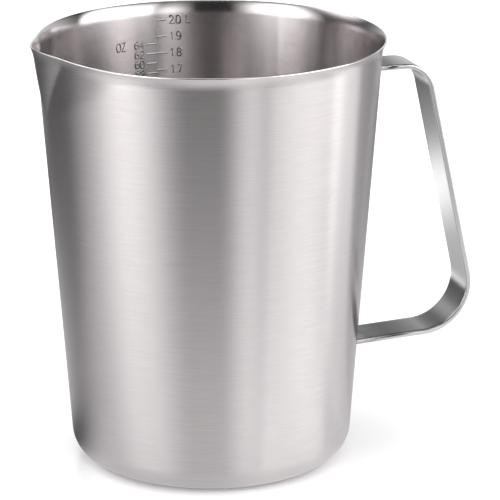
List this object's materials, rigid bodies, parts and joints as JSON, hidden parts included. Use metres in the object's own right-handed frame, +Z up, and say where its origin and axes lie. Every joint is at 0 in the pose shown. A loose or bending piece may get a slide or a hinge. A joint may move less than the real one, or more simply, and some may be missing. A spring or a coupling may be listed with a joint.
{
  "type": "measuring jug",
  "caption": "Tapered stainless steel measuring jug with a flared lip, a pressed pouring spout, a bent strap handle welded to the wall and a graduated scale on the inside.",
  "frame": {"origin": "middle of the flat base, on the axis of the cup", "axes": "+Z up along the cup's axis, +X towards the handle, -X towards the spout, +Y across"},
  "size_m": [0.1844, 0.142, 0.1747],
  "materials": {
    "body_steel": "brushed round the axis, lip polished",
    "strap_steel": "brushed along the strap, edges polished",
    "weld_steel": "satin, ground smooth"
  },
  "bodies": {
    "root": {"jug_body": "body_steel", "handle_strap": "strap_steel", "upper_weld": "weld_steel", "lower_weld": "weld_steel"}
  },
  "joints": []
}
